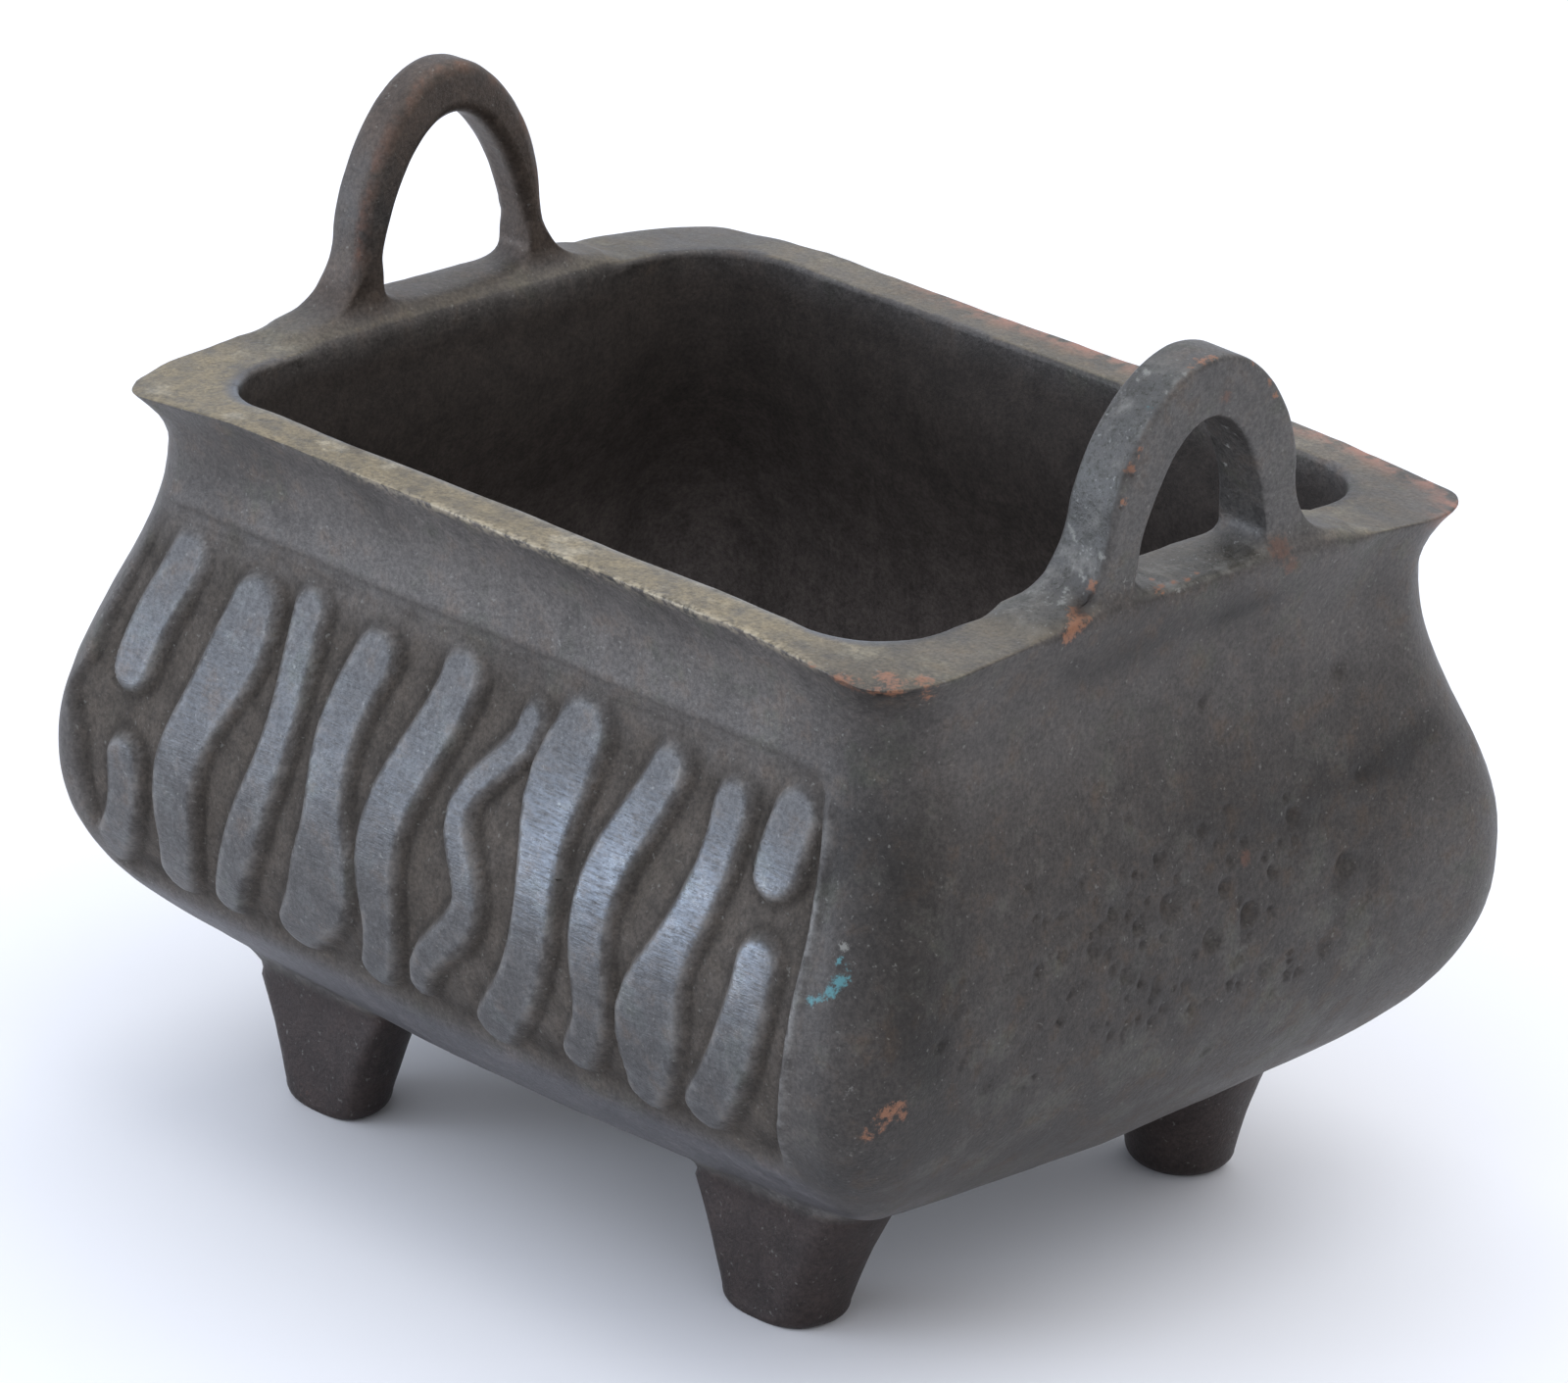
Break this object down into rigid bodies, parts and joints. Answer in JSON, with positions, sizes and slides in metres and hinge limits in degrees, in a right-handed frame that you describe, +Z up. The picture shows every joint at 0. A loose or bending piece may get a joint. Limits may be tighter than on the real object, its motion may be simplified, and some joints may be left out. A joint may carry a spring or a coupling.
{
  "type": "incense burner",
  "caption": "Cast bronze rectangular incense burner with a swelling body, flared rim, upright loop handles on its ends, short tapered feet and sunk panels of raised strokes.",
  "frame": {"origin": "on the ground, midway between the feet, under the middle of the body", "axes": "+Z up, +X along the body's long side towards the broader handle, -Y towards the front panel"},
  "size_m": [0.098, 0.0788, 0.0837],
  "materials": {
    "dark_bronze": "satin"
  },
  "bodies": {
    "root": {"incense_burner": "dark_bronze"}
  },
  "joints": []
}
